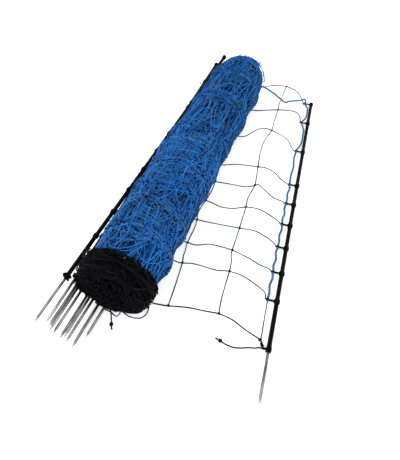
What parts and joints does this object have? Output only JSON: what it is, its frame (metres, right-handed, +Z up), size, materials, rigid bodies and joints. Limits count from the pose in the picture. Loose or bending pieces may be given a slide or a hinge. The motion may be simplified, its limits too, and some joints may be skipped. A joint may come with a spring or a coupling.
{
  "type": "wolf netting",
  "caption": "Electric wolf netting wound up with its posts and lying on the ground, the last stretch and its end post unrolled beside it; blue strands, black lowest strand, steel ground spikes.",
  "frame": {"origin": "middle of the footprint on the ground, measured without the free tie cords", "axes": "+Z up, +Y along the roll from the spikes to the post heads, +X from the roll towards the unrolled end post"},
  "size_m": [0.6005, 1.4368, 0.2143],
  "materials": {
    "netting_blue": "wound blue polyethylene strands",
    "netting_black": "wound black polyethylene strands",
    "strand_blue": "single blue polyethylene strands with black knots",
    "cord_blue": "twisted blue polyethylene cord",
    "cord_black": "twisted black polyethylene cord",
    "post_plastic": "black moulded plastic with a faint sheen",
    "spike_steel": "bright zinc-plated steel rod"
  },
  "bodies": {
    "root": {"netting_roll": "netting_blue", "netting_roll_foot": "netting_black", "netting_panel": "strand_blue", "ground_strand": "netting_black", "end_cord": "cord_blue", "end_cord_tail": "cord_blue", "tie_cord_post": "cord_black", "tie_cord_roll": "cord_black", "tie_knot_post": "cord_black", "tie_knot_roll": "cord_black", "post_01": "post_plastic", "post_02": "post_plastic", "post_03": "post_plastic", "post_04": "post_plastic", "post_05": "post_plastic", "post_06": "post_plastic", "post_07": "post_plastic", "post_08": "post_plastic", "post_09": "post_plastic", "post_10": "post_plastic", "post_11": "post_plastic", "spike_01": "spike_steel", "spike_02": "spike_steel", "spike_03": "spike_steel", "spike_04": "spike_steel", "spike_05": "spike_steel", "spike_06": "spike_steel", "spike_07": "spike_steel", "spike_08": "spike_steel", "spike_09": "spike_steel", "spike_10": "spike_steel", "spike_11": "spike_steel"}
  },
  "joints": []
}
